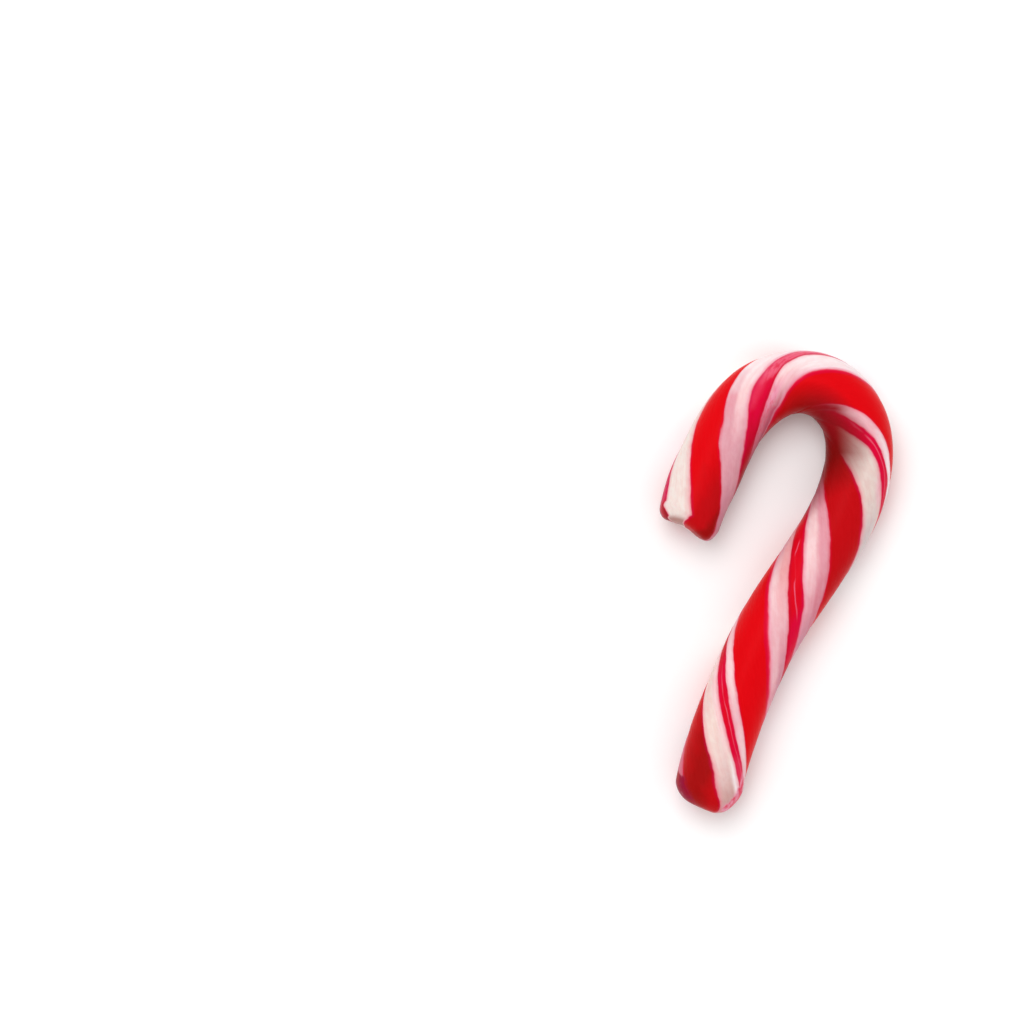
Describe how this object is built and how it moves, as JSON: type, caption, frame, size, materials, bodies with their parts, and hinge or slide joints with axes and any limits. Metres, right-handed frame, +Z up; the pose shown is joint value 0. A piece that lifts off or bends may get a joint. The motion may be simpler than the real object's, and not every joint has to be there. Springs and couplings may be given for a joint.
{
  "type": "candy cane",
  "caption": "Small candy cane: a twisted, red and white striped stick of pulled sugar, bent into a crook and lying on its side.",
  "frame": {"origin": "middle of the base, on the surface that the cane lies on", "axes": "+Y along the leg towards the crook, -X towards the crook's tip, +Z up from the surface"},
  "size_m": [0.0274, 0.0584, 0.0085],
  "materials": {
    "candy": "satin boiled sugar, red and white stripes"
  },
  "bodies": {
    "root": {"candy_cane": "candy"}
  },
  "joints": []
}
